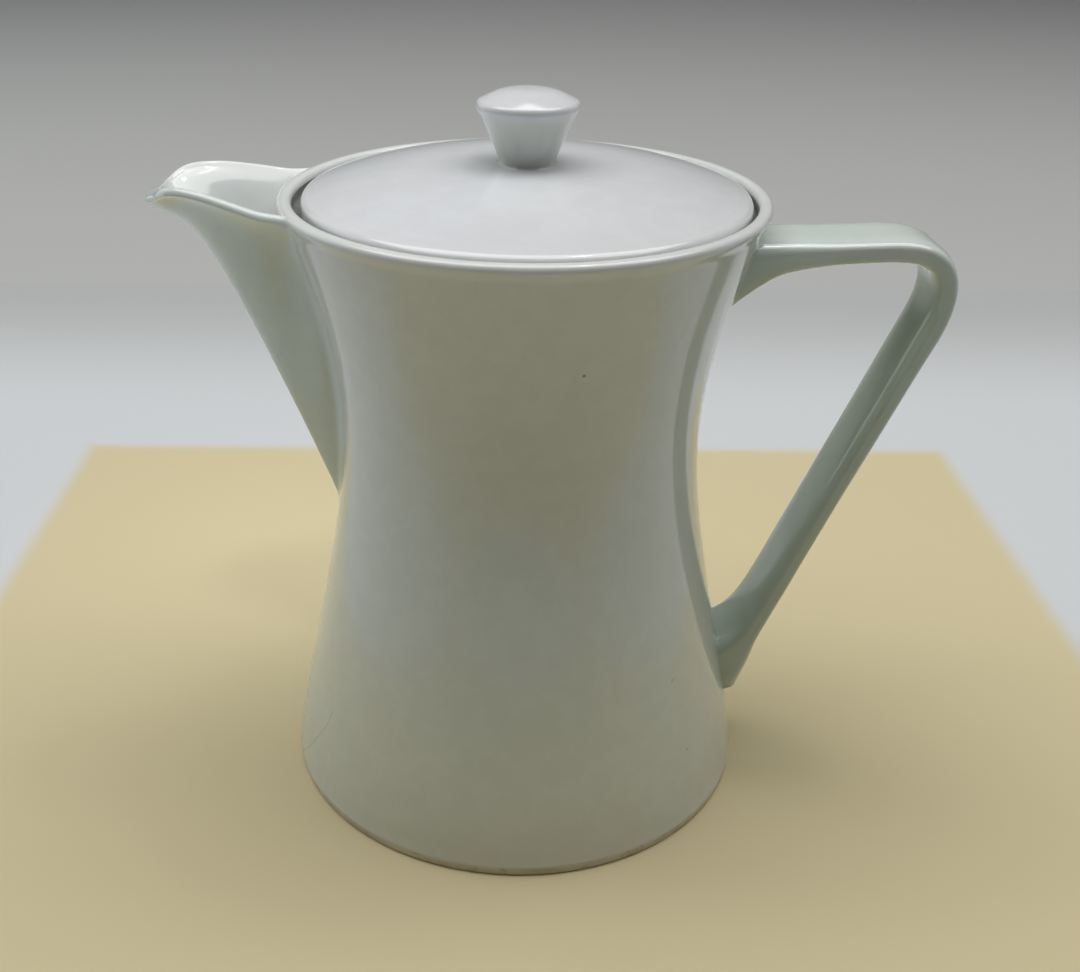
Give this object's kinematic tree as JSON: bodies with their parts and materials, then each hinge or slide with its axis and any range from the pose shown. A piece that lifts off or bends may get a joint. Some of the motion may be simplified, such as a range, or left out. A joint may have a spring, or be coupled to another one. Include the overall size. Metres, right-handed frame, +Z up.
{
  "type": "porcelain coffee pot",
  "caption": "Waisted glazed porcelain coffee pot with an open beak spout, a flat strap handle and a lift-off domed lid with a conical knob.",
  "frame": {"origin": "on the axis of the round body, in the plane that the foot ring stands on", "axes": "+Z up along the body's axis, +X from the axis towards the handle, -X towards the spout, +Y completes the right-handed set; the pot is mirror-symmetric about the XZ plane"},
  "size_m": [0.2068, 0.1298, 0.1915],
  "materials": {
    "glaze_celadon": "glossy pale grey-green glaze over white porcelain, bare at the foot ring",
    "glaze_white": "glossy cool white glaze over white porcelain"
  },
  "bodies": {
    "pot": {"pot_body": "glaze_celadon", "pot_floor": "glaze_celadon", "spout": "glaze_celadon", "handle": "glaze_celadon"},
    "lid": {"lid_dome": "glaze_white", "lid_flange": "glaze_white", "lid_knob": "glaze_white"}
  },
  "joints": [
    {"name": "lid_lift", "type": "slide", "parent": "pot", "child": "lid", "axis": [0, 0, 1], "range_m": [0, 0.04]}
  ]
}
